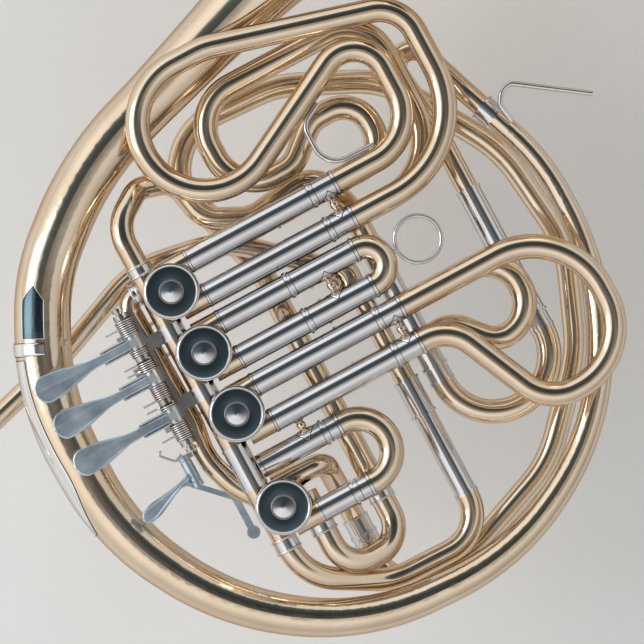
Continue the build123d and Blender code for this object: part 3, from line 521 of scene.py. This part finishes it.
def make_seams():
    """Thin dark solder lines beside the beads and where tubes meet."""
    line = [(6.75, -0.17), (6.92, -0.17), (6.92, 0.17), (6.75, 0.17)]

    def spots(ys, z, xs):
        return [((x, y, z), (1, 0, 0)) for y in ys for x in xs]

    start_seams = (SLEEVE_START - 0.2, SLEEVE_START + 1.2)
    fixed = spots(SLIDE_1 + SLIDE_3, Z_FRONT, (*start_seams, SLEEVE_END - BEAD_W - 0.2))
    fixed += spots(SLIDE_2, Z_FRONT, (*start_seams, SHORT_SLEEVE_END - BEAD_W - 0.2))
    fixed += spots(CHANGE_YS[:1], Z_CHANGE, (-1.0, 36.2))
    fixed += spots(CHANGE_YS[1:], Z_CHANGE, (15.6, 35.2))
    turned("fixed_seams", fixed, line, SEAM_AND_SHADE, "horn", 40)
    for body, ys, z, start, end in (("first_slide", SLIDE_1, Z_FRONT, SLEEVE_END, FERRULE_END),
                                    ("second_slide", SLIDE_2, Z_FRONT, SHORT_SLEEVE_END, SHORT_FERRULE_END),
                                    ("third_slide", SLIDE_3, Z_FRONT, SLEEVE_END, FERRULE_END),
                                    ("change_slide", CHANGE_YS, Z_CHANGE, 38.0, 47.0)):
        moving = spots(ys, z, (start + 1.9, end - 1.7, end + 0.2))
        turned(f"{body}_seams", moving, line, SEAM_AND_SHADE, body, 40)


FERRULE_IN = 6.86       # inner radius of the ferrules: just inside the tubes' surface
DOWN = (0, -1, 0)
FERRULES = (
    ("change_ferrules", ((LINK_X, -110.8, Z_REAR), (11.8, -110.8, Z_REAR)), DOWN, (FERRULE_IN, 7.2, 8.4)),
    ("crook_band", ((48.3, -113.2, -27.0),), DOWN, (FERRULE_IN, 7.2, 6.0)),
    ("elbow_sleeve", ((29.3, -121.5, Z_DEEP),), DOWN, (FERRULE_IN, 7.3, 15.5)),
    ("elbow_ring", ((29.3, -131.0, Z_DEEP),), DOWN, (7.2, 7.5, 2.2)),
    ("inlet_ferrule", ((LINK_X, 53.4, -2.0),), (0, 1, 0), (FERRULE_IN, 7.2, 6.6)),
    ("side_tube_ferrule", ((-16.8, 46.2, -6.5),), (-1, 0, 0), (6.06, 6.6, 4.5)),
)


def make_ferrules():
    """Nickel ferrules and couplings where tubes meet: name, places, direction and band sizes."""
    for name, places, axis, sizes in FERRULES:
        turned(name, [(place, axis) for place in places], band_profile(*sizes), NICKEL)


def make_cap_fields():
    """Polished field of each valve cap, between its rim and its cone, coloured dark blue-black as a painted
    reflection of dark surroundings.
    """
    profile = [(6.95, -0.05), (6.95, 0.07), (7.1, 0.09), (13.2, 0.09), (13.35, 0.07), (13.35, -0.05)]
    spots = [((x, y, CAP_FIELD), (0, 0, 1)) for x, y in VALVES]
    turned("cap_fields", spots, profile, CAP_PAINTED_REFLECTION, "horn", 96)


def tail_centre(t):
    """Point of the bell tail's centre line on its left side, for t from 0 to 1, and its direction."""
    points = [Vector((*p, Z_TAIL)) for p in TAIL_LEFT]
    spans = len(points) - 3
    index = min(int(t * spans), spans - 1)
    u = t * spans - index
    a, b, c, d = points[index:index + 4]
    square = 2 * a - 5 * b + 4 * c - d
    cube = 3 * b - a - 3 * c + d
    place = 0.5 * (2 * b + (c - a) * u + square * u ** 2 + cube * u ** 3)
    slope = 0.5 * ((c - a) + 2 * square * u + 3 * cube * u ** 2)
    return place, slope.normalized()


def evened(row):
    """Row of numbers with each one averaged with its neighbours."""
    last = len(row) - 1
    return [(row[max(k - 1, 0)] + 2 * row[k] + row[min(k + 1, last)]) / 4 for k in range(last + 1)]


def tail_surface(start, end, edges, rows, columns):
    """Centre points, ray directions and evened surface distances of a patch on the bell tail's mesh."""
    mesh = frame["nodes"]["bell_tail"].data
    tree = BVHTree.FromPolygons([v.co for v in mesh.vertices], [tuple(p.vertices) for p in mesh.polygons])
    feet, rays, heights = [], [], []
    for i in range(rows + 1):
        foot, slope = tail_centre(start + (end - start) * i / rows)
        outward = Vector((-slope.y, slope.x, 0))
        if outward.x > 0:
            outward = -outward
        low, high = edges(i / rows)
        feet.append(foot)
        rays.append([])
        heights.append([])
        for j in range(columns + 1):
            angle = math.radians(low + (high - low) * j / columns)
            ray = outward * math.cos(angle) + Vector((0, 0, 1)) * math.sin(angle)
            hit = tree.ray_cast((foot + ray * RAY_FAR) * 0.001, -ray, (RAY_FAR - 1) * 0.001)[0]
            rays[-1].append(ray)
            heights[-1].append((hit * 1000 - foot).length if hit else TAIL_R)
    for _ in range(3):
        heights = [evened(row) for row in heights]
        columns_evened = [evened(column) for column in zip(*heights)]
        heights = [list(row) for row in zip(*columns_evened)]
    return feet, rays, heights


def guard(name, start, end, edges, thick=0.35, rows=72, columns=26, material=SILVER, line_material=SEAM_AND_SHADE):
    """Thin plate on the bell tail: it follows the CAD surface between two angles given by edges(s)."""
    feet, rays, heights = tail_surface(start, end, edges, rows, columns)
    shells = []
    for level in (SUNK, thick):
        shell = []
        for i in range(rows + 1):
            row = []
            for j in range(columns + 1):
                inside = min(min(i, rows - i) / rows, min(j, columns - j) / columns)
                rim = min(1.0, 6 * inside + 0.4) if level > 0 else 1.0
                row.append(feet[i] + rays[i][j] * (heights[i][j] + level * rim))
            shell.append(row)
        shells.append(shell)
    return thin_plate(name, shells, material, "horn", 30, f"{name}_edge", GUARD_LINE_R,
                      line_material)


def make_guards():
    """Silver hand guard on the bell tail's outer side, its end band and the small pointed plate."""
    def long_edge(s):
        return -70, 30 + 31 * math.sin(math.pi / 2 * min(1, s / 0.35)) - 18 * max(0, s - 0.35)

    def point_edge(s):
        share = min(1, (1 - s) / 0.34)
        return 72 - 23 * share, 74 + 22 * share

    guard("hand_guard", 0.0, 0.60, long_edge)
    guard("guard_band", 0.612, 0.652, lambda s: (-60, 96), 0.9, 12)
    guard("guard_point", 0.665, 0.897, point_edge, 0.45, 48, 26, PLATE, SILVER)


def make_floor():
    """Large pale floor well below the horn."""
    half = 4.0
    mesh = bpy.data.meshes.new("studio_floor")
    height = cad_box[0][2] - 0.002
    corners = [(x * half, y * half, height) for x, y in ((-1, -1), (1, -1), (1, 1), (-1, 1))]
    mesh.from_pydata(corners, [], [(0, 1, 2, 3)])
    mesh.materials.append(floor_material())
    floor = bpy.data.objects.new("studio_floor", mesh)
    bpy.context.scene.collection.objects.link(floor)


# ---------------------------------------------------------------- light and camera
DARK_CENTRE = (0.16, 0.22, 0.96)    # middle of the dim patch of sky above the horn
SOFT_SIDE = (-0.10, -0.64, 0.77)    # middle of the soft light that fades into the dim patch
BRIGHT_SIDE = (-0.88, 0.47, 0.1)    # the side where the whole sky is a little brighter
WARM = (1.0, 0.985, 0.97)
TEAL = (0.050, 0.070, 0.082)
# (place, brightness, tint) from the far side of the sky to the middle of the dim patch
SKY = ((0.0, 0.62, WARM), (0.35, 0.80, WARM), (0.62, 1.0, WARM), (0.80, 0.95, WARM), (0.855, 2.0, TEAL),
       (1.0, 0.75, TEAL))
SOFT = ((0.50, 0.0), (0.77, 0.16), (0.90, 0.55), (1.0, 0.90))


def make_sky():
    """Soft studio sky: bright all round, dim in a patch overhead, a little brighter to one side."""
    world = bpy.data.worlds.new("studio")
    bpy.context.scene.world = world
    world.use_nodes = True
    tree = world.node_tree
    background = tree.nodes["Background"]
    direction = tree.nodes.new("ShaderNodeTexCoord").outputs["Generated"]

    def towards(vector):
        node = tree.nodes.new("ShaderNodeVectorMath")
        node.operation = "DOT_PRODUCT"
        node.inputs[1].default_value = Vector(vector).normalized()
        tree.links.new(direction, node.inputs[0])
        return node.outputs["Value"]

    sky_stops = [(place, [value * part for part in tint]) for place, value, tint in SKY]
    soft_stops = [(place, (value, value, value)) for place, value in SOFT]
    lighter = tree.nodes.new("ShaderNodeMixRGB")
    lighter.blend_type = "LIGHTEN"
    lighter.inputs["Fac"].default_value = 1.0
    tree.links.new(ramp_colour(tree, towards(DARK_CENTRE), sky_stops), lighter.inputs["Color1"])
    tree.links.new(ramp_colour(tree, towards(SOFT_SIDE), soft_stops), lighter.inputs["Color2"])
    tree.links.new(lighter.outputs["Color"], background.inputs["Color"])
    tree.links.new(spread(tree, towards(BRIGHT_SIDE), 0.60, 1.25, -1.0, 1.0), background.inputs["Strength"])


def make_lamp(name, place, target, size, power):
    """Square area light at a place in metres, turned towards a target."""
    lamp = bpy.data.lights.new(name, "AREA")
    lamp.shape = "RECTANGLE"
    lamp.size = size
    lamp.size_y = size
    lamp.energy = power
    holder = bpy.data.objects.new(name, lamp)
    holder.location = place
    holder.rotation_euler = (Vector(target) - Vector(place)).to_track_quat("-Z", "Y").to_euler()
    bpy.context.scene.collection.objects.link(holder)


VIEW_CENTRE = mm(64.9, -15.7, 0)
VIEW_WIDTH = 0.3542
VIEW_TURN = math.radians(-28.18)
CAMERA_HEIGHT = 2.2


def make_camera():
    """Camera straight above the valve caps, turned as the view is."""
    camera = bpy.data.cameras.new("camera")
    camera.sensor_width = 36
    camera.lens = camera.sensor_width * (CAMERA_HEIGHT - Z_FRONT * 0.001) / VIEW_WIDTH
    holder = bpy.data.objects.new("camera", camera)
    holder.location = (VIEW_CENTRE.x, VIEW_CENTRE.y, CAMERA_HEIGHT)
    holder.rotation_euler = (0, 0, VIEW_TURN)
    bpy.context.scene.collection.objects.link(holder)
    bpy.context.scene.camera = holder


dress_cad_nodes()
make_levers()
make_springs()
make_braces()
make_seams()
make_ferrules()
make_cap_fields()
make_guards()
make_floor()
make_sky()
make_lamp("key_light", (-1.6, 1.0, 1.2), (0.05, 0, 0), 1.2, 14)
make_camera()
bpy.context.scene.view_settings.view_transform = "Standard"
